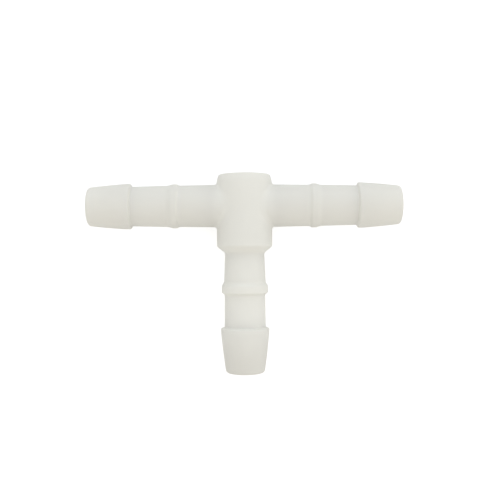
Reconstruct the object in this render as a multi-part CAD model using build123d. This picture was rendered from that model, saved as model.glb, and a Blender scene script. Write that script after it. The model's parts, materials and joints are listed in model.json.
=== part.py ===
from build123d import *

import os
from dataclasses import dataclass

# Barbed tee connector for 6 mm (1/4 in) bore hose, moulded in natural plastic.
#
# Frame: millimetres. The tee lies flat in the XY plane, +Z up. The origin is where the
# three bore axes meet, inside the hub. The run lies along X, and the branch points along -Y.
# The real part is one moulding. It is cut here into its named sections, which meet face to face.

# ---- driving dimensions ----
bore_diameter = 4.0  # one size through all three tails
mouth_chamfer = 0.15  # at the open end of each bore

hub_diameter = 8.35  # the hub is a round boss, coaxial with the branch
hub_top = 4.75  # from the origin to the hub's closed end, along +Y
hub_shoulder = 6.2  # from the origin to the start of the hub's chamfer, along -Y
hub_foot = 7.15  # from the origin to the end of that chamfer
hub_taper_length = 1.03  # the closed end narrows over this length
hub_taper = 0.28  # how much its radius loses there
hub_edge_round = 0.3
root_fillet = 0.4  # where the run's stems leave the hub
foot_fillet = 0.3  # where the chamfer runs out on the branch's stem

step_slant = 0.3  # axial length of the back face of a barb
barb_land = 0.6  # length of a barb's full diameter
barb_bulge = 0.04  # how far a barb's cone bows out from a straight line
tip_diameter = 5.8
tip_round = 0.45


@dataclass
class Tail:
    """One hose tail. Distances run along its axis from the origin, and radii are from that axis."""

    name: str
    turn: float  # degrees about Z, from +X
    root: float  # where the hub section ends and the stem starts
    ring_start: float  # the side of the ring that is nearer the hub
    ring_rise: float  # axial length of the ring's slope on that side
    ring_fall: float  # and on the side nearer the tip
    ring_end: float
    barb_step: float  # the back face of the barb
    tip: float  # the open end
    root_radius: float
    ring_foot_radius: float  # of the stem, where the ring starts
    waist_radius: float  # of the stem, where the ring ends
    neck_radius: float  # of the stem, at the barb's back face
    ring_radius: float
    barb_radius: float

    def root_cone(self, distance):
        """The stem's radius between the hub and the ring, and on the same cone inside the hub."""
        share = (distance - self.root) / (self.ring_start - self.root)
        return self.root_radius + share * (self.ring_foot_radius - self.root_radius)


run_sizes = dict(
    root=5.0,
    ring_start=9.8,
    ring_rise=0.45,
    ring_fall=0.85,
    ring_end=11.75,
    barb_step=17.0,
    tip=23.75,
    root_radius=3.19,
    ring_foot_radius=3.12,
    waist_radius=3.1,
    neck_radius=2.98,
    ring_radius=3.34,
    barb_radius=3.43,
)
tails = [
    Tail(name="right", turn=0, **run_sizes),
    Tail(name="left", turn=180, **run_sizes),
    Tail(
        name="branch",
        turn=-90,
        root=7.5,
        ring_start=11.5,
        ring_rise=0.7,
        ring_fall=0.35,
        ring_end=13.6,
        barb_step=18.35,
        tip=25.4,
        root_radius=2.95,
        ring_foot_radius=3.13,
        waist_radius=3.04,
        neck_radius=3.09,
        ring_radius=3.49,
        barb_radius=3.64,
    ),
]

bore_radius = bore_diameter / 2
hub_radius = hub_diameter / 2


def turned(*outline):
    """A solid of revolution about X, from an outline of joined edges in the XY plane."""
    return revolve(make_face(Curve() + list(outline)), Axis.X)


def placed(tail, solid):
    """A section made along +X, turned to where its tail points."""
    return Rot(0, 0, tail.turn) * solid


def bore(tail):
    """The hole through one tail, from its open end to the origin."""
    mouth = tail.tip - mouth_chamfer
    outline = Polyline(
        (0, 0),
        (0, bore_radius),
        (mouth, bore_radius),
        (tail.tip, bore_radius + mouth_chamfer),
        (tail.tip, 0),
        (0, 0),
    )
    return placed(tail, turned(outline))


def stem(tail):
    """The plain tapered tube between the hub and the barb."""
    return turned(
        Polyline(
            (tail.root, bore_radius),
            (tail.root, tail.root_radius),
            (tail.ring_start, tail.ring_foot_radius),
            (tail.ring_end, tail.waist_radius),
            (tail.barb_step, tail.neck_radius),
            (tail.barb_step, bore_radius),
            (tail.root, bore_radius),
        )
    )


def ring(tail):
    """The low bead round the middle of a stem, which the hose closes over."""
    return turned(
        Polyline(
            (tail.ring_start, tail.ring_foot_radius),
            (tail.ring_start + tail.ring_rise, tail.ring_radius),
            (tail.ring_end - tail.ring_fall, tail.ring_radius),
            (tail.ring_end, tail.waist_radius),
            (tail.ring_start, tail.ring_foot_radius),
        )
    )


def barb(tail):
    """The end of a tail: a steep back face, a short land and a bowed cone down to a rounded tip."""
    tip_radius = tip_diameter / 2
    land_start = tail.barb_step + step_slant
    land_end = land_start + barb_land
    cone_end = tail.tip - tip_round
    middle = ((land_end + cone_end) / 2, (tail.barb_radius + tip_radius) / 2 + barb_bulge)
    return turned(
        Polyline(
            (tail.tip - mouth_chamfer, bore_radius),
            (tail.barb_step, bore_radius),
            (tail.barb_step, tail.neck_radius),
            (land_start, tail.barb_radius),
            (land_end, tail.barb_radius),
        ),
        ThreePointArc((land_end, tail.barb_radius), middle, (cone_end, tip_radius)),
        RadiusArc((cone_end, tip_radius), (tail.tip, tip_radius - tip_round), tip_round),
        Polyline(
            (tail.tip, tip_radius - tip_round),
            (tail.tip, bore_radius + mouth_chamfer),
            (tail.tip - mouth_chamfer, bore_radius),
        ),
    )


def hub_stub(tail):
    """The solid start of a run stem inside the hub section, on the same cone as the stem."""
    return placed(
        tail,
        turned(
            Polyline(
                (0, 0),
                (0, tail.root_cone(0)),
                (tail.root, tail.root_radius),
                (tail.root, 0),
                (0, 0),
            )
        ),
    )


def hub():
    """The round boss in the middle, with the roots of the three stems and the crossing bores."""
    right, left, branch = tails
    boss = turned(
        Polyline(
            (-hub_top, 0),
            (-hub_top, hub_radius - hub_taper),
            (-hub_top + hub_taper_length, hub_radius),
            (hub_shoulder, hub_radius),
            (hub_foot, branch.root_cone(hub_foot)),
            (branch.root, branch.root_radius),
            (branch.root, 0),
            (-hub_top, 0),
        )
    )
    boss = placed(branch, boss)
    closed_end = boss.edges().filter_by(GeomType.CIRCLE).sort_by(Axis.Y)[-1]
    boss = fillet(closed_end, hub_edge_round)
    foot = [e for e in boss.edges().filter_by(GeomType.CIRCLE) if abs(e.center().Y + hub_foot) < 0.01]
    boss = fillet(foot, foot_fillet)
    body = boss + hub_stub(right) + hub_stub(left)
    roots = [e for e in body.edges() if e.geom_type not in (GeomType.CIRCLE, GeomType.LINE)]
    body = fillet(roots, root_fillet)
    for tail in tails:
        body = body - bore(tail)
    return body


parts = {"hub": hub()}
for tail in tails:
    parts[f"{tail.name}_stem"] = placed(tail, stem(tail))
    parts[f"{tail.name}_ring"] = placed(tail, ring(tail))
    parts[f"{tail.name}_barb"] = placed(tail, barb(tail))

os.makedirs("parts", exist_ok=True)
for name, solid in parts.items():
    export_step(solid, f"parts/{name}.step")
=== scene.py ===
import json
import math

import bmesh
import bpy
import numpy as np
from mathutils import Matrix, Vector


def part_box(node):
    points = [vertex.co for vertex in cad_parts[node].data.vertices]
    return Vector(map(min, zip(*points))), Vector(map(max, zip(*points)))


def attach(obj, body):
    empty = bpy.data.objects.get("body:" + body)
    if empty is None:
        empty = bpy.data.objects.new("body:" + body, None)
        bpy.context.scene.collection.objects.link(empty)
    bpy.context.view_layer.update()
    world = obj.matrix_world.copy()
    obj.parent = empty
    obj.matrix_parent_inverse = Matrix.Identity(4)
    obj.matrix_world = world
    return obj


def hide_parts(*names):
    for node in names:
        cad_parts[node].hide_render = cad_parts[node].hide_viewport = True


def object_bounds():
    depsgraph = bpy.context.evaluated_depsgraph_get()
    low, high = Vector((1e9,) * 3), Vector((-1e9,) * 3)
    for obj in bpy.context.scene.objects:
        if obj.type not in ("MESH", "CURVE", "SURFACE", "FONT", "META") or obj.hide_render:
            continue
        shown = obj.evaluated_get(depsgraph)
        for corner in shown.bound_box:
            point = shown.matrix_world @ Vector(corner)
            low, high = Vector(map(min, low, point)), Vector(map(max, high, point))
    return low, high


# Barbed tee connector in undyed, milky plastic, lying flat on a white table.
#
# Shapes are worked out in millimetres in the frame of the CAD model: the run lies along X, the branch
# points along -Y, +Z is up, and the origin is where the three bores meet. Meshes are made in metres.
# The real tee is one moulding, so its sections meet with no visible border.

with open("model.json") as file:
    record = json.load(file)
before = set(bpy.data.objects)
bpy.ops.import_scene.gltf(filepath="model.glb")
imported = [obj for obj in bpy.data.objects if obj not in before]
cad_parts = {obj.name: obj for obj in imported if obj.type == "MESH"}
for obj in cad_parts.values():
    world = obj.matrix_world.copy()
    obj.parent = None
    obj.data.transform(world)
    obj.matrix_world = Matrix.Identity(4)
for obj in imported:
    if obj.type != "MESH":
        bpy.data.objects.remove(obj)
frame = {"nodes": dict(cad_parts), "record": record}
cad_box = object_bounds()

MM = 0.001
PALE_PLASTIC = (0.955, 0.952, 0.906)
# the darker colour of the painted shade, mixed into the plastic's colour along the tee
SHADED_PLASTIC = (0.82, 0.81, 0.765)
LIGHT_LET_THROUGH = 0.27  # share of the milky plastic that passes light on instead of returning it


# ---------------------------------------------------------------- sizes, in millimetres

mounts = {m["name"]: m for m in frame["record"]["mounts"]}
BORE_RADIUS = mounts["run_bore"]["dims"]["r_mm"]

TIP_ROUND = 0.45  # outer edge of an open end
MOUTH_CHAMFER = 0.15
BACK_FACE_LENGTH = 0.3  # axial length of a barb's back face
BACK_FACE_FOOT = 0.07  # plain stem before it rises
BARB_LAND = 0.6
BARB_LAND_ROUND = 1.0  # where the land runs out into the cone
BARB_BOW = 0.04  # how far the cone bows out from a straight line
BARB_BOW_ROUND = 2.0  # of the corners that make up the bow
SMALL_ROUND = 0.1  # edges that the mould leaves soft
RING_SLOPES = {"left": (0.5, 1.0), "right": (0.5, 1.0), "branch": (0.8, 0.45)}  # hub side, tip side
RING_STEPS = 48  # along a ring
HIDDEN_DEPTH = 0.05  # how far a ring's inner side lies inside the stem
LEVEL_REACH = 0.02  # how near to a distance a vertex lies to count as being at it

HUB_SHOULDER = 6.2  # along -Y, where the hub's chamfer starts
HUB_FOOT = 7.15  # along -Y, where it ends
HUB_TAPER_LENGTH = 1.03  # of the closed end
HUB_TAPER = 0.28  # how much its radius loses there
HUB_TAPER_ROUND = 2.0  # where the taper starts
HUB_END_ROUND = 0.3  # of the closed end's edge
HUB_FOOT_ROUND = 0.5  # of the chamfer's two edges
ROOT_FILLET = 0.45  # where the run's stems leave the hub
BORE_CROSSING_ROUND = 0.12  # where the branch's bore opens into the run's

GATE_DIMPLE_RADIUS = 1.15  # in the middle of the hub's closed end, where the plastic was let in
GATE_DIMPLE_DEPTH = 0.16
GATE_STUB_RADIUS = 0.42  # what was left when the sprue broke off
GATE_STUB_HEIGHT = 0.12
GATE_STUB_LEAN = 0.12  # it broke off at a slant
GATE_ROUND = 0.08

SEAM_HEIGHT = 0.035  # the parting line, a fine ridge all round the tee in its own plane
SEAM_WIDTH = 0.055

SHARP_ANGLE = 40  # degrees; an edge that turns less than this is shaded smooth
TURN_STEPS = 192  # facets round a turned surface
SEAM_CROWDING = 0.4  # how much those facets draw together beside the parting line
BEYOND = 1.0  # how far the hub's shape is carried past the planes that cut it off
NET_STEP = 0.13  # of the grid that the hub's surface is found on
GATE_NET_STEP = 0.055  # over the gate, as seen along the branch
END_NET_STEP = 0.03  # through the closed end's surface
SEAM_LEVELS = (0.0, 0.03, 0.06, 0.095, 0.14, 0.2)  # above and below the parting line
SEAM_LEVELS_PASSED = 0.26  # where the even levels above them start
GATE_NET_MARGIN = 0.1  # how far the finer steps go past the dimple's rim
END_NET_MARGINS = (0.12, 0.06)  # below the dimple's floor, and past the closed end
NET_MARGIN = 0.3  # how far the grid goes past the hub
CUT_TOLERANCE = 1e-3  # how near to a cut a vertex lies to count as being on it


def reach(node, axis):
    """How far a CAD node starts and ends from the origin, along a row axis."""
    ends = sorted(corner.dot(axis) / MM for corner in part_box(node))
    return ends[0], ends[1]


def rim(node, axis, distance):
    """The largest radius round the axis that a CAD node has at this distance along it."""
    found = 0.0
    for vertex in frame["nodes"][node].data.vertices:
        along = vertex.co.dot(axis)
        if abs(along / MM - distance) < LEVEL_REACH:
            found = max(found, (vertex.co - along * axis).length / MM)
    return found


class Tail:
    """One hose tail: where its sections lie along its axis, and their radii, in millimetres."""

    def __init__(self, name):
        axis = Vector(mounts[f"{name}_hose_tail"]["axis"])
        self.name = name
        self.turn = math.atan2(axis.y, axis.x)
        self.root, self.step = reach(f"{name}_stem", axis)
        self.tip = reach(f"{name}_barb", axis)[1]
        self.ring_start, self.ring_end = reach(f"{name}_ring", axis)
        self.root_radius = rim(f"{name}_stem", axis, self.root)
        self.ring_foot_radius = rim(f"{name}_ring", axis, self.ring_start)
        self.waist_radius = rim(f"{name}_ring", axis, self.ring_end)
        self.neck_radius = rim(f"{name}_stem", axis, self.step)
        self.barb_radius = mounts[f"{name}_hose_tail"]["dims"]["r_mm"]
        self.tip_radius = rim(f"{name}_barb", axis, self.tip - TIP_ROUND)
        ring_low, ring_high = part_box(f"{name}_ring")
        self.ring_radius = (ring_high.z - ring_low.z) / 2 / MM

    def root_cone(self, distance):
        """The stem's radius between the hub and the ring, and on the same cone inside the hub."""
        share = (distance - self.root) / (self.ring_start - self.root)
        return self.root_radius + share * (self.ring_foot_radius - self.root_radius)

    def under_ring(self, distance):
        """The stem's radius where the ring covers it."""
        share = (distance - self.ring_start) / (self.ring_end - self.ring_start)
        return self.ring_foot_radius + share * (self.waist_radius - self.ring_foot_radius)


tails = {name: Tail(name) for name in ("left", "right", "branch")}
hub_low, hub_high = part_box("hub")
HUB_TOP = hub_high.y / MM
HUB_RADIUS = (hub_high.z - hub_low.z) / 2 / MM


# ---------------------------------------------------------------- outlines

def rounded(corners, arc_steps=6):
    """A line through corners (x, y, radius), where each corner with a radius becomes an arc."""
    points = []
    last = len(corners) - 1
    for i, (x, y, radius) in enumerate(corners):
        here = np.array([x, y], float)
        if radius == 0 or i in (0, last):
            points.append(here)
            continue
        back = np.array(corners[i - 1][:2]) - here
        ahead = np.array(corners[i + 1][:2]) - here
        back_length, ahead_length = np.linalg.norm(back), np.linalg.norm(ahead)
        back, ahead = back / back_length, ahead / ahead_length
        half_angle = math.acos(np.clip(back @ ahead, -1, 1)) / 2
        # An arc takes less than half of the straight on either side, so that two never overlap.
        tangent = min(radius / math.tan(half_angle), 0.49 * back_length, 0.49 * ahead_length)
        radius = tangent * math.tan(half_angle)
        middle = back + ahead
        centre = here + middle / np.linalg.norm(middle) * radius / math.sin(half_angle)
        start = here + back * tangent - centre
        end = here + ahead * tangent - centre
        for step in range(arc_steps + 1):
            share = step / arc_steps
            spoke = (1 - share) * start + share * end
            points.append(centre + spoke / np.linalg.norm(spoke) * radius)
    return np.array(points)


def divided(points, longest):
    """The same line with its long runs divided."""
    result = [points[0]]
    for a, b in zip(points[:-1], points[1:]):
        count = max(1, math.ceil(np.linalg.norm(b - a) / longest))
        result += [a + (b - a) * k / count for k in range(1, count + 1)]
    return np.array(result)


def smooth(share):
    """From 0 to 1 with no corner at either end."""
    share = np.clip(share, 0, 1)
    return share * share * (3 - 2 * share)


def seam(height):
    """How far the parting line stands proud, this far above or below the tee's plane."""
    return SEAM_HEIGHT * np.exp(-((height / SEAM_WIDTH) ** 2))


def stem_outlines(tail):
    """The outside and the bore of a plain tapered tube."""
    outer = [
        (tail.root, tail.root_radius),
        (tail.ring_start, tail.ring_foot_radius),
        (tail.ring_end, tail.waist_radius),
        (tail.step, tail.neck_radius),
    ]
    inner = [(tail.step, BORE_RADIUS), (tail.root, BORE_RADIUS)]
    return divided(np.array(outer), longest=0.5), divided(np.array(inner), longest=1.0)


def ring_outlines(tail):
    """A low bead whose two slopes run out on the stem."""
    rise, fall = RING_SLOPES[tail.name]
    along = np.linspace(tail.ring_start, tail.ring_end, RING_STEPS + 1)
    stem = tail.under_ring(along)
    up, down = smooth((along - tail.ring_start) / rise), smooth((tail.ring_end - along) / fall)
    height = (tail.ring_radius - stem) * up * down
    outer = np.stack([along, stem + height], 1)
    inner = np.stack([along, stem - HIDDEN_DEPTH], 1)[::-8]  # never seen, so an eighth of the steps
    return outer, inner


def barb_outlines(tail):
    """The barb's outside, round the tip and in at the mouth, and then the rest of its bore."""
    crest = tail.step + BACK_FACE_LENGTH
    land_end = crest + BARB_LAND
    cone_length = tail.tip - land_end
    bore_start = tail.tip - 4 * MOUTH_CHAMFER
    cone = []
    for share in (0.25, 0.5, 0.75):
        straight = tail.barb_radius + share * (tail.tip_radius - tail.barb_radius)
        bow = 4 * share * (1 - share) * BARB_BOW
        cone.append((land_end + share * cone_length, straight + bow, BARB_BOW_ROUND))
    outer = rounded(
        [
            (tail.step, tail.neck_radius, 0),
            (tail.step + BACK_FACE_FOOT, tail.neck_radius, SMALL_ROUND),
            (crest, tail.barb_radius, SMALL_ROUND),
            (land_end, tail.barb_radius, BARB_LAND_ROUND),
            *cone,
            (tail.tip, tail.tip_radius, TIP_ROUND),
            (tail.tip, BORE_RADIUS + MOUTH_CHAMFER, SMALL_ROUND / 2),
            (tail.tip - MOUTH_CHAMFER, BORE_RADIUS, SMALL_ROUND / 2),
            (bore_start, BORE_RADIUS, 0),
        ]
    )
    inner = [(bore_start, BORE_RADIUS), (tail.step, BORE_RADIUS)]
    return divided(outer, longest=0.3), divided(np.array(inner), longest=1.0)[1:]


# ---------------------------------------------------------------- meshes

def mesh_object(name, points, faces):
    """A new object from points in millimetres, shaded smooth except at its sharp edges."""
    mesh = bpy.data.meshes.new(name)
    mesh.from_pydata((np.asarray(points) * MM).tolist(), [], [list(map(int, f)) for f in faces])
    mesh.validate()
    mesh.polygons.foreach_set("use_smooth", [True] * len(mesh.polygons))
    mesh.set_sharp_from_angle(angle=math.radians(SHARP_ANGLE))
    mesh.update()
    piece = bpy.data.objects.new(name, mesh)
    bpy.context.scene.collection.objects.link(piece)
    return piece


def turned(outer, inner, turn):
    """A closed surface of revolution about X, turned about Z, from the two halves of its outline.

    The outer half carries the parting line, except round the mouth. The facets are closest
    together beside it.
    """
    even = np.arange(TURN_STEPS) / TURN_STEPS * 2 * math.pi
    angles = even - SEAM_CROWDING * np.sin(2 * even)
    outline = np.concatenate([outer, inner])
    along, radius = outline[:, 0], outline[:, 1]
    has_seam = np.concatenate([outer[:, 1] > BORE_RADIUS + 2 * MOUTH_CHAMFER, np.zeros(len(inner), bool)])
    spoke = np.stack([np.cos(angles), np.sin(angles)], 1)
    reach_out = radius[:, None] + has_seam[:, None] * seam(radius[:, None] * spoke[None, :, 1])
    points = np.stack(
        [
            np.repeat(along[:, None], TURN_STEPS, 1),
            reach_out * spoke[None, :, 0],
            reach_out * spoke[None, :, 1],
        ],
        2,
    ).reshape(-1, 3)
    rows = len(outline)
    faces = []
    for row in range(rows):
        below, above = row * TURN_STEPS, (row + 1) % rows * TURN_STEPS
        for k in range(TURN_STEPS):
            after = (k + 1) % TURN_STEPS
            faces.append((below + k, below + after, above + after, above + k))
    c, s = math.cos(turn), math.sin(turn)
    rotate = np.array([[c, -s, 0], [s, c, 0], [0, 0, 1]])
    return points @ rotate.T, faces


# ---------------------------------------------------------------- the hub, as a distance to its surface

def outline_distance(points, outline):
    """Signed distance from 2-D points to a closed outline, negative inside."""
    nearest = np.full(len(points), np.inf)
    inside = np.zeros(len(points), bool)
    for a, b in zip(outline, np.roll(outline, -1, 0)):
        edge, offset = b - a, points - a
        share = np.clip(offset @ edge / (edge @ edge), 0, 1)
        nearest = np.minimum(nearest, np.linalg.norm(offset - share[:, None] * edge, axis=1))
        crosses = (a[1] > points[:, 1]) != (b[1] > points[:, 1])
        if crosses.any():
            at = a[0] + (points[:, 1] - a[1]) * edge[0] / (edge[1] if edge[1] else 1)
            inside ^= crosses & (points[:, 0] < at)
    return np.where(inside, -nearest, nearest)


def joined(a, b, radius):
    """Two shapes as one, with a fillet where they meet."""
    return np.maximum(radius, np.minimum(a, b)) - np.hypot(
        np.maximum(radius - a, 0), np.maximum(radius - b, 0)
    )


def common(a, b, radius):
    """What two shapes share, with a rounded edge where they cross."""
    return np.minimum(-radius, np.maximum(a, b)) + np.hypot(
        np.maximum(radius + a, 0), np.maximum(radius + b, 0)
    )


branch = tails["branch"]
boss_outline = rounded(
    [
        (-HUB_TOP, -BEYOND, 0),
        (-HUB_TOP, HUB_RADIUS - HUB_TAPER, HUB_END_ROUND),
        (-HUB_TOP + HUB_TAPER_LENGTH, HUB_RADIUS, HUB_TAPER_ROUND),
        (HUB_SHOULDER, HUB_RADIUS, HUB_FOOT_ROUND),
        (HUB_FOOT, branch.root_cone(HUB_FOOT), HUB_FOOT_ROUND),
        (branch.root + BEYOND, branch.root_cone(branch.root + BEYOND), 0),
        (branch.root + BEYOND, -BEYOND, 0),
    ]
)


def hub_distance(points):
    """Distance to the hub's surface, negative inside. The parting line stops at the closed end."""
    x, y, z = points.T
    from_run, from_branch = np.hypot(y, z), np.hypot(x, z)
    boss = outline_distance(np.stack([-y, from_branch], 1), boss_outline)
    run = from_run - tails["right"].root_cone(np.abs(x))
    body = joined(boss, run, ROOT_FILLET) - seam(z) * (y < HUB_TOP - HUB_END_ROUND / 2)
    floor = HUB_TOP - GATE_DIMPLE_DEPTH
    dimple = np.maximum(from_branch - GATE_DIMPLE_RADIUS, floor - y)
    stub = np.maximum(from_branch - GATE_STUB_RADIUS, y + GATE_STUB_LEAN * x - floor - GATE_STUB_HEIGHT)
    body = joined(common(body, -dimple, GATE_ROUND), stub, GATE_ROUND)
    run_wall = BORE_RADIUS - from_run
    branch_wall = -np.maximum(from_branch - BORE_RADIUS, y)
    return np.maximum(body, common(run_wall, branch_wall, BORE_CROSSING_ROUND))


def surface_net(distance, levels):
    """Points and quads on the zero level of a distance, one point in each grid cell that it crosses."""
    grid = np.stack(np.meshgrid(*levels, indexing="ij"), -1)
    value = distance(grid.reshape(-1, 3)).reshape(grid.shape[:3])
    cells = tuple(n - 1 for n in value.shape)
    total, count = np.zeros(cells + (3,)), np.zeros(cells)
    crossings = []
    for axis in range(3):
        first = [slice(None)] * 3
        first[axis] = slice(0, -1)
        second = [slice(None)] * 3
        second[axis] = slice(1, None)
        a, b = value[tuple(first)], value[tuple(second)]
        crossed = (a < 0) != (b < 0)
        share = np.where(crossed, a / np.where(crossed, a - b, 1), 0)[..., None]
        place = grid[tuple(first)] * (1 - share) + grid[tuple(second)] * share
        place = place * crossed[..., None]
        others = [k for k in range(3) if k != axis]
        for i in (0, 1):
            for j in (0, 1):
                part = [slice(None)] * 3
                part[others[0]] = slice(i, i + cells[others[0]])
                part[others[1]] = slice(j, j + cells[others[1]])
                total += place[tuple(part)]
                count += crossed[tuple(part)]
        crossings.append((axis, others, crossed, a < 0))
    used = count > 0
    index = np.full(cells, -1)
    index[used] = np.arange(used.sum())
    points = total[used] / count[used][:, None]
    faces = []
    for axis, others, crossed, starts_inside in crossings:
        at = np.argwhere(crossed)
        free = (at[:, others[0]] > 0) & (at[:, others[1]] > 0)
        for k in others:
            free &= at[:, k] < cells[k]
        at = at[free]
        corners = []
        for i, j in ((0, 0), (1, 0), (1, 1), (0, 1)):
            cell = at.copy()
            cell[:, others[0]] -= i
            cell[:, others[1]] -= j
            corners.append(index[tuple(cell.T)])
        quads = np.stack(corners, 1)
        turn_back = starts_inside[tuple(at.T)] == (axis == 1)
        quads[turn_back] = quads[turn_back][:, ::-1]
        faces.append(quads)
    return points, np.concatenate(faces)


def settled(points, distance, rounds=5):
    """The same points, moved exactly onto the zero level."""
    nudge = 1e-4
    for _ in range(rounds):
        slope = np.stack(
            [
                (distance(points + nudge * along) - distance(points - nudge * along)) / (2 * nudge)
                for along in np.eye(3)
            ],
            1,
        )
        steepness = np.maximum((slope**2).sum(1), 0.25)  # a corner's shallow slope throws no point far
        points = points - slope * (distance(points) / steepness)[:, None]
    return points


def levels_between(low, high, step):
    return np.linspace(low, high, math.ceil((high - low) / step) + 1)


def mirrored(levels):
    """The same levels on both sides of zero, which is the first of them."""
    return np.concatenate([-levels[:0:-1], levels])


def hub_levels():
    """The grid's levels along X, Y and Z, closest at the parting line, the gate and the closed end."""
    gate_reach = GATE_DIMPLE_RADIUS + GATE_NET_MARGIN
    below_floor, past_top = END_NET_MARGINS
    across_gate = levels_between(0, gate_reach, GATE_NET_STEP)
    across_run = levels_between(across_gate[-1] + NET_STEP, tails["right"].root + NET_MARGIN, NET_STEP)
    at_end = levels_between(HUB_TOP - GATE_DIMPLE_DEPTH - below_floor, HUB_TOP + past_top, END_NET_STEP)
    before_end = levels_between(-branch.root - NET_MARGIN, at_end[0] - NET_STEP / 2, NET_STEP)
    past_end = levels_between(at_end[-1] + NET_STEP / 2, HUB_TOP + NET_MARGIN, NET_STEP)
    above_seam = levels_between(SEAM_LEVELS_PASSED, gate_reach, GATE_NET_STEP)
    above_gate = levels_between(above_seam[-1] + NET_STEP, HUB_RADIUS + NET_MARGIN, NET_STEP)
    return (
        mirrored(np.concatenate([across_gate, across_run])),
        np.concatenate([before_end, at_end, past_end]),
        mirrored(np.concatenate([SEAM_LEVELS, above_seam, above_gate])),
    )


def cut_flat(shape, place, outward):
    """Cuts a mesh off at a plane and closes the hole that this leaves."""
    geometry = shape.verts[:] + shape.edges[:] + shape.faces[:]
    bmesh.ops.bisect_plane(
        shape, geom=geometry, dist=1e-5, plane_co=place, plane_no=outward, clear_outer=True
    )

    def lies_on_plane(edge):
        return all(abs((v.co - Vector(place)).dot(Vector(outward))) < CUT_TOLERANCE for v in edge.verts)

    rims = [e for e in shape.edges if e.is_boundary and lies_on_plane(e)]
    bmesh.ops.triangle_fill(shape, edges=rims, use_beauty=True, use_dissolve=False)


def hub_mesh():
    """The hub as a net on its own distance, cut off flat where the three stems start."""
    points, faces = surface_net(hub_distance, hub_levels())
    points = settled(points, hub_distance)
    shape = bmesh.new()
    vertices = [shape.verts.new(p) for p in points]
    for face in faces:
        shape.faces.new([vertices[i] for i in face])
    run_root = tails["right"].root
    cut_flat(shape, (run_root, 0, 0), (1, 0, 0))
    cut_flat(shape, (-run_root, 0, 0), (-1, 0, 0))
    cut_flat(shape, (0, -branch.root, 0), (0, -1, 0))
    bmesh.ops.recalc_face_normals(shape, faces=shape.faces)
    shape.verts.ensure_lookup_table()
    shape.verts.index_update()
    points = [tuple(v.co) for v in shape.verts]
    faces = [[v.index for v in f.verts] for f in shape.faces]
    shape.free()
    return points, faces


# ---------------------------------------------------------------- the plastic

HUB_PAINTED_SHADE = 0.2  # painted shade on the hub: from 0, pale, to 1, dull
PAINTED_SHADE_CHANGES = (  # painted light and shade along the tails: along which tail, where it begins and is full (mm from the origin), and how much (below zero is painted light)
    # painted shade: the run's tubes darker than the hub beside them
    ("run", 3.8, 5.2, 0.2),
    # painted shade: the run's barbs darker still
    ("run", 14.0, 21.0, 0.12),
    # painted light: paler over the hub's chamfer and where the branch leaves the hub, against the shade
    # there
    ("branch", 4.8, 7.0, -0.2),
    # painted shade: the branch's barb and rounded tip darker, the shade under its rounded end
    ("branch", 16.0, 25.5, 1.0),
)
CLOUD_SPREAD = 0.15  # of the faint drift in tone all over the moulding


def node_group(name, inputs, outputs):
    """An empty shader group with named sockets, each given as (name, socket type, default)."""
    group = bpy.data.node_groups.new(name, "ShaderNodeTree")
    for socket_name, kind, default in inputs:
        socket = group.interface.new_socket(socket_name, in_out="INPUT", socket_type=kind)
        if default is not None:
            socket.default_value = default
    for socket_name, kind in outputs:
        group.interface.new_socket(socket_name, in_out="OUTPUT", socket_type=kind)
    start = group.nodes.new("NodeGroupInput")
    end = group.nodes.new("NodeGroupOutput")
    return group, start, end


def math_node(tree, operation, *values):
    """A Math node, with each value either a number or a socket."""
    node = tree.nodes.new("ShaderNodeMath")
    node.operation = operation
    for socket, value in zip(node.inputs, values):
        if isinstance(value, (int, float)):
            socket.default_value = value
        else:
            tree.links.new(value, socket)
    return node.outputs[0]


def noise(tree, place, scale, detail):
    node = tree.nodes.new("ShaderNodeTexNoise")
    node.inputs["Scale"].default_value = scale
    node.inputs["Detail"].default_value = detail
    tree.links.new(place, node.inputs["Vector"])
    return node.outputs["Fac"]


def smooth_step(tree, value, low, high):
    node = tree.nodes.new("ShaderNodeMapRange")
    node.interpolation_type = "SMOOTHSTEP"
    node.inputs["From Min"].default_value = low
    node.inputs["From Max"].default_value = high
    tree.links.new(value, node.inputs["Value"])
    return node.outputs["Result"]


def painted_shade_group():
    """Painted light and shade in the plastic's colour: the branch is the palest, with painted light where
    it leaves the hub; the run's tubes and all ends are duller with painted shade.
    """
    tree, start, end = node_group(
        "wall_tone",
        [("Pale", "NodeSocketColor", None), ("Dull", "NodeSocketColor", None)],
        [("Color", "NodeSocketColor")],
    )
    place = tree.nodes.new("ShaderNodeTexCoord").outputs["Object"]
    split = tree.nodes.new("ShaderNodeSeparateXYZ")
    tree.links.new(place, split.inputs[0])
    along = {
        "run": math_node(tree, "ABSOLUTE", split.outputs["X"]),
        "branch": math_node(tree, "MULTIPLY", split.outputs["Y"], -1.0),
    }
    # painted shade: the hub's share, then each tail's painted light and shade in turn
    painted_shade = HUB_PAINTED_SHADE
    for tail, begins, full, change in PAINTED_SHADE_CHANGES:
        share = smooth_step(tree, along[tail], begins * MM, full * MM)
        painted_shade = math_node(tree, "MULTIPLY_ADD", share, change, painted_shade)
    cloud = noise(tree, place, scale=260, detail=3)
    drift = math_node(tree, "MULTIPLY_ADD", cloud, 2 * CLOUD_SPREAD, -CLOUD_SPREAD)
    blend = tree.nodes.new("ShaderNodeMix")
    blend.data_type = "RGBA"
    blend.clamp_factor = True
    tree.links.new(math_node(tree, "ADD", painted_shade, drift), blend.inputs["Factor"])
    tree.links.new(start.outputs["Pale"], blend.inputs[6])
    tree.links.new(start.outputs["Dull"], blend.inputs[7])
    tree.links.new(blend.outputs[2], end.inputs["Color"])
    return tree


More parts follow.
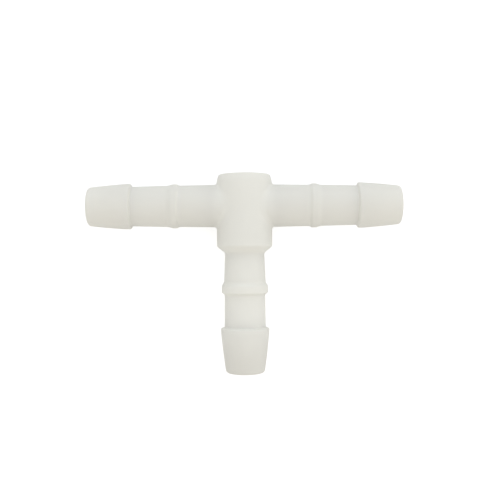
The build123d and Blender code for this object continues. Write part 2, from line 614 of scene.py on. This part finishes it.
def skin_group():
    """The moulded skin: a very fine satin grain over slow, shallow waves."""
    tree, start, end = node_group(
        "moulded_skin",
        [
            ("Roughness", "NodeSocketFloat", 0.4),
            ("Roughness Spread", "NodeSocketFloat", 0.1),
            ("Wave Height", "NodeSocketFloat", 0.01),
            ("Grain Height", "NodeSocketFloat", 0.001),
        ],
        [("Roughness", "NodeSocketFloat"), ("Normal", "NodeSocketVector")],
    )
    place = tree.nodes.new("ShaderNodeTexCoord").outputs["Object"]

    def bump(height, distance, before):
        node = tree.nodes.new("ShaderNodeBump")
        tree.links.new(height, node.inputs["Height"])
        tree.links.new(math_node(tree, "MULTIPLY", distance, MM), node.inputs["Distance"])
        if before:
            tree.links.new(before, node.inputs["Normal"])
        return node.outputs["Normal"]

    waves = bump(noise(tree, place, scale=420, detail=2), start.outputs["Wave Height"], None)
    grain = bump(noise(tree, place, scale=9000, detail=3), start.outputs["Grain Height"], waves)
    patches = math_node(tree, "SUBTRACT", noise(tree, place, scale=700, detail=4), 0.5)
    spread = math_node(tree, "MULTIPLY", patches, start.outputs["Roughness Spread"])
    rough = math_node(tree, "ADD", start.outputs["Roughness"], spread)
    tree.links.new(rough, end.inputs["Roughness"])
    tree.links.new(grain, end.inputs["Normal"])
    return tree


def use_group(tree, group, **values):
    """A group placed in a material, with some of its inputs set."""
    node = tree.nodes.new("ShaderNodeGroup")
    node.node_tree = group
    for name, value in values.items():
        node.inputs[name.replace("_", " ")].default_value = value
    return node


def plastic_material():
    """Undyed plastic with a satin skin, part of whose light comes from behind its surface."""
    material = bpy.data.materials.new("undyed_plastic")
    material.use_nodes = True
    tree = material.node_tree
    shader = tree.nodes["Principled BSDF"]
    shader.inputs["IOR"].default_value = 1.49
    # the base colour carries painted light and shade, paler or darker along the tee
    tone = use_group(tree, painted_shade_group(), Pale=(*PALE_PLASTIC, 1), Dull=(*SHADED_PLASTIC, 1))
    skin = use_group(tree, skin_group(), Roughness=0.42, Roughness_Spread=0.12, Wave_Height=0.02)
    tree.links.new(tone.outputs["Color"], shader.inputs["Base Color"])
    tree.links.new(skin.outputs["Roughness"], shader.inputs["Roughness"])
    tree.links.new(skin.outputs["Normal"], shader.inputs["Normal"])
    through = tree.nodes.new("ShaderNodeBsdfTranslucent")
    tree.links.new(tone.outputs["Color"], through.inputs["Color"])
    tree.links.new(skin.outputs["Normal"], through.inputs["Normal"])
    milky = tree.nodes.new("ShaderNodeMixShader")
    milky.inputs["Fac"].default_value = LIGHT_LET_THROUGH
    tree.links.new(shader.outputs[0], milky.inputs[1])
    tree.links.new(through.outputs[0], milky.inputs[2])
    tree.links.new(milky.outputs[0], tree.nodes["Material Output"].inputs["Surface"])
    return material


# ---------------------------------------------------------------- pieces

plastic = plastic_material()


def add_piece(node, points, faces):
    """One section of the moulding, shown in place of its CAD node."""
    piece = mesh_object(f"{node}_moulding", points, faces)
    piece.data.materials.append(plastic)
    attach(piece, "root")
    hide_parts(node)
    return piece


add_piece("hub", *hub_mesh())
for tail in tails.values():
    for section, outlines in (("stem", stem_outlines), ("ring", ring_outlines), ("barb", barb_outlines)):
        add_piece(f"{tail.name}_{section}", *turned(*outlines(tail), tail.turn))


# ---------------------------------------------------------------- table, light and camera

TABLE_HALF = 3.0  # metres
TABLE_WHITE = 0.62
TABLE_GLOW = 0.27  # as the tee sees it
TABLE_GLOW_SEEN = 0.6  # as the camera sees it

KEY_TOWARDS = (0.28, 0.85, 0.45)  # behind the hub, a little to the right, low
KEY_DISTANCE = 0.5  # metres, as its size is
KEY_SIZE = 0.22
KEY_POWER = 0.1

SKY_LEVEL = 0.93  # at the horizon, on average
SKY_OVERHEAD = 0.08  # how much brighter it is straight above, behind the hub and to the right
SKY_TOWARDS_HUB = 0.12
SKY_TOWARDS_RIGHT = 0.115
SWEEP_DIMMING = 0.3
WARM_LIGHT = (1.05, 1.0, 0.92)  # from in front of the branch
COOL_LIGHT = (0.965, 1.0, 1.04)  # from behind the hub

CAMERA_PLACE = (0.81, -6.74, 114.3)  # millimetres
CAMERA_LENS = 54  # on a frame 36 wide
CAMERA_ROLL = -0.41  # degrees


def table_material():
    """White, and a little lit from below, but only as the camera meets it: the tee sees a duller one."""
    material = bpy.data.materials.new("white_table")
    material.use_nodes = True
    tree = material.node_tree
    shader = tree.nodes["Principled BSDF"]
    shader.inputs["Base Color"].default_value = (TABLE_WHITE, TABLE_WHITE, TABLE_WHITE, 1)
    shader.inputs["Roughness"].default_value = 0.9
    shader.inputs["Specular IOR Level"].default_value = 0.1
    seen = tree.nodes.new("ShaderNodeLightPath").outputs["Is Camera Ray"]
    shader.inputs["Emission Color"].default_value = (1, 1, 1, 1)
    glow = math_node(tree, "MULTIPLY_ADD", seen, TABLE_GLOW_SEEN - TABLE_GLOW, TABLE_GLOW)
    tree.links.new(glow, shader.inputs["Emission Strength"])
    return material


def add_table():
    """A plain white light table, just touching the lowest point of the tee."""
    level = cad_box[0].z
    corners = [(x * TABLE_HALF, y * TABLE_HALF, level) for x, y in ((-1, -1), (1, -1), (1, 1), (-1, 1))]
    mesh = bpy.data.meshes.new("table")
    mesh.from_pydata(corners, [], [(0, 1, 2, 3)])
    mesh.materials.append(table_material())
    table = bpy.data.objects.new("table", mesh)
    bpy.context.scene.collection.objects.link(table)


def add_key():
    """A square soft light, aimed at the tee."""
    light = bpy.data.lights.new("key", "AREA")
    light.shape = "SQUARE"
    light.size = KEY_SIZE
    light.energy = KEY_POWER
    light.color = COOL_LIGHT
    lamp = bpy.data.objects.new("key", light)
    towards = Vector(KEY_TOWARDS).normalized()
    lamp.location = towards * KEY_DISTANCE
    lamp.rotation_mode = "QUATERNION"
    lamp.rotation_quaternion = (-towards).to_track_quat("-Z", "Y")
    lamp.visible_camera = False
    bpy.context.scene.collection.objects.link(lamp)


def add_sky():
    """A dome of soft light: brightest overhead, cool and light behind the hub, warm and dim in front."""
    world = bpy.data.worlds.new("studio")
    world.use_nodes = True
    tree = world.node_tree
    split = tree.nodes.new("ShaderNodeSeparateXYZ")
    tree.links.new(tree.nodes.new("ShaderNodeTexCoord").outputs["Generated"], split.inputs[0])
    height = math_node(tree, "MAXIMUM", split.outputs["Z"], 0.0)
    level = math_node(tree, "MULTIPLY_ADD", height, SKY_OVERHEAD, SKY_LEVEL)
    level = math_node(tree, "MULTIPLY_ADD", split.outputs["Y"], SKY_TOWARDS_HUB, level)
    level = math_node(tree, "MULTIPLY_ADD", split.outputs["X"], SKY_TOWARDS_RIGHT, level)
    side = math_node(tree, "MULTIPLY_ADD", split.outputs["Y"], 0.5, 0.5)
    tint = tree.nodes.new("ShaderNodeMix")
    tint.data_type = "RGBA"
    tree.links.new(side, tint.inputs["Factor"])
    tint.inputs[6].default_value = (*WARM_LIGHT, 1)
    tint.inputs[7].default_value = (*COOL_LIGHT, 1)
    background = tree.nodes["Background"]
    tree.links.new(tint.outputs[2], background.inputs["Color"])
    tree.links.new(level, background.inputs["Strength"])
    # The camera itself meets a plain white sweep behind the table, which dims a little with height.
    sweep = tree.nodes.new("ShaderNodeBackground")
    sweep.inputs["Color"].default_value = (1, 1, 1, 1)
    tree.links.new(math_node(tree, "MULTIPLY_ADD", height, -SWEEP_DIMMING, 1.0), sweep.inputs["Strength"])
    mix = tree.nodes.new("ShaderNodeMixShader")
    tree.links.new(tree.nodes.new("ShaderNodeLightPath").outputs["Is Camera Ray"], mix.inputs["Fac"])
    tree.links.new(background.outputs[0], mix.inputs[1])
    tree.links.new(sweep.outputs[0], mix.inputs[2])
    tree.links.new(mix.outputs[0], tree.nodes["World Output"].inputs["Surface"])
    bpy.context.scene.world = world


def add_camera():
    """Straight above the tee, a little towards the branch, and rolled by a hair."""
    camera = bpy.data.objects.new("camera", bpy.data.cameras.new("camera"))
    camera.data.sensor_width = 36
    camera.data.lens = CAMERA_LENS
    camera.data.clip_start, camera.data.clip_end = 0.001, 20
    camera.location = [MM * place for place in CAMERA_PLACE]
    camera.rotation_euler = (0, 0, math.radians(CAMERA_ROLL))
    bpy.context.scene.collection.objects.link(camera)
    bpy.context.scene.camera = camera


add_table()
add_key()
add_sky()
add_camera()
bpy.context.scene.view_settings.view_transform = "Standard"
